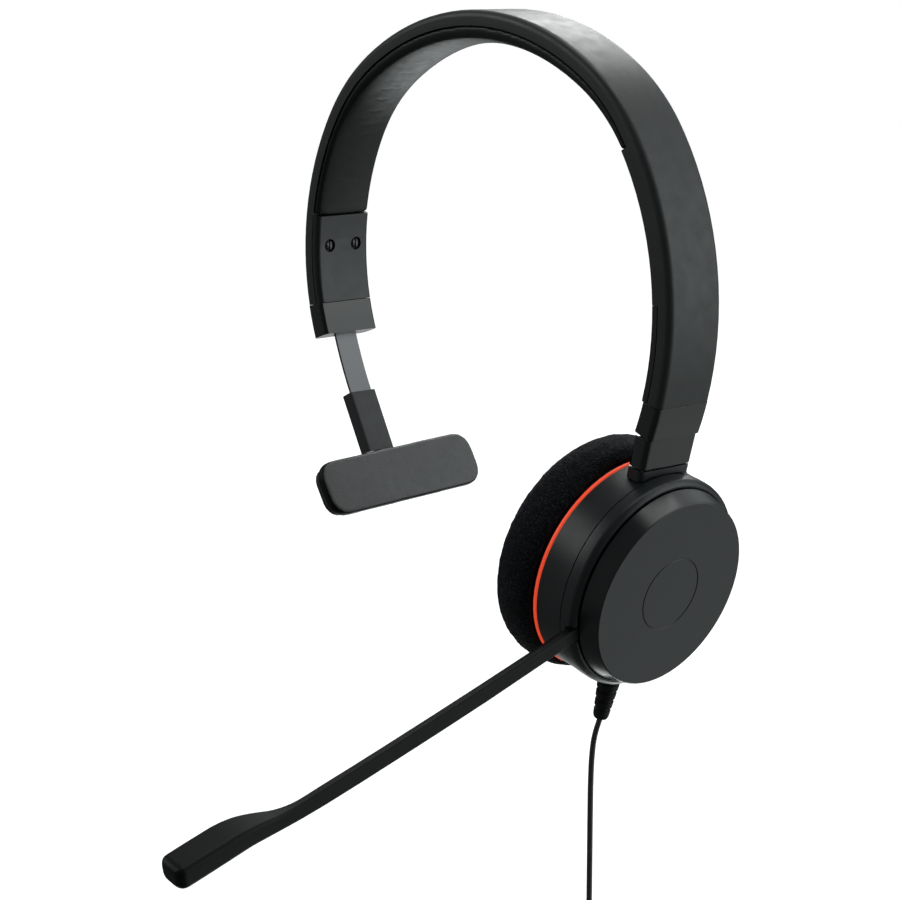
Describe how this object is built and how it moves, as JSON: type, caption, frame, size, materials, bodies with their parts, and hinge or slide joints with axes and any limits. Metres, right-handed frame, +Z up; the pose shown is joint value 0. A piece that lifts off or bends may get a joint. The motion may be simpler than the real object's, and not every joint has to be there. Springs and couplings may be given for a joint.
{
  "type": "mono office headset",
  "caption": "One-ear office headset: sprung headband, sliding temple pad, sliding and tilting earcup with foam cushion, swinging boom microphone and a coiled lead with plug.",
  "frame": {"origin": "the lowest point of the crown cushion, at mid-width, where the headset rests on the head", "axes": "+Z up through the crown, +X towards the earcup, -Y towards the wearer's face, where the boom points"},
  "size_m": [0.145, 0.1812, 0.281],
  "materials": {
    "soft_touch_black": "soft-touch matt, charcoal",
    "satin_black": "satin moulded plastic, dark grey",
    "gloss_black": "polished moulded plastic",
    "leatherette": "fine-grained artificial leather over foam",
    "foam": "open-cell acoustic foam",
    "accent": "satin red-orange",
    "rubber": "matt elastomer",
    "steel": "satin spring steel",
    "dark_steel": "blackened",
    "board": "solder-masked laminate",
    "film": "thin translucent film",
    "brass": "turned"
  },
  "bodies": {
    "headband": {"headband_shell": "soft_touch_black", "spring_band": "steel", "cushion_liner": "satin_black", "headband_cushion": "leatherette", "tbar_side_cover": "satin_black", "tbar_collar": "gloss_black", "tbar_detent_spring": "steel", "tbar_cover_screw_front": "dark_steel", "tbar_cover_screw_back": "dark_steel", "cup_side_cover": "satin_black", "cup_collar": "gloss_black", "cup_detent_spring": "steel", "cup_cover_screw_front": "dark_steel", "cup_cover_screw_back": "dark_steel"},
    "temple_bar": {"tbar_blade": "steel", "tbar_stem": "satin_black"},
    "temple_rest": {"pad_backplate": "satin_black", "temple_pad": "leatherette"},
    "cup_slider": {"cup_blade": "steel", "cup_arm": "gloss_black"},
    "cup_stud": {"ball_stud": "steel"},
    "earcup": {"arm_socket": "satin_black", "cup_housing": "satin_black", "outer_cap": "satin_black", "circuit_board": "board", "cap_screw": "steel", "friction_washer": "steel", "accent_ring": "accent", "driver_baffle": "satin_black", "driver_magnet": "steel", "driver_diaphragm": "film", "foam_cushion": "foam", "strain_relief": "rubber", "cord_lead": "rubber", "cord_coil": "rubber", "cord_tie": "rubber", "cord_tail": "rubber", "plug_body": "rubber", "plug_shell": "steel", "plug_tongue": "satin_black"},
    "boom": {"boom_ring": "satin_black", "boom_arm": "soft_touch_black", "mic_capsule": "brass", "mic_grille": "foam"}
  },
  "joints": [
    {"name": "temple_bar_slide", "type": "hinge", "parent": "headband", "child": "temple_bar", "pos_m": [0.04956, 0, -0.04916], "axis": [0, -1, 0], "range_deg": [-6.2, 1.9]},
    {"name": "temple_pad_tilt", "type": "hinge", "parent": "temple_bar", "child": "temple_rest", "pos_m": [-0.04588, 0, -0.12814], "axis": [0, 1, 0], "range_deg": [-8, 15]},
    {"name": "cup_slide", "type": "hinge", "parent": "headband", "child": "cup_slider", "pos_m": [-0.06876, 0, -0.05454], "axis": [0, 1, 0], "range_deg": [0, 8.1]},
    {"name": "cup_swivel", "type": "hinge", "parent": "cup_slider", "child": "cup_stud", "pos_m": [0.06081, 0, -0.10998], "axis": [0.2672, 0, 0.9636], "range_deg": [-8, 8]},
    {"name": "cup_tilt", "type": "hinge", "parent": "cup_stud", "child": "earcup", "pos_m": [0.06081, 0, -0.10998], "axis": [0, 1, 0], "range_deg": [-8, 8]},
    {"name": "boom_rotate", "type": "hinge", "parent": "earcup", "child": "boom", "pos_m": [0.0652, 0, -0.1415], "axis": [-0.9636, 0, 0.2672], "range_deg": [-35, 235]}
  ]
}
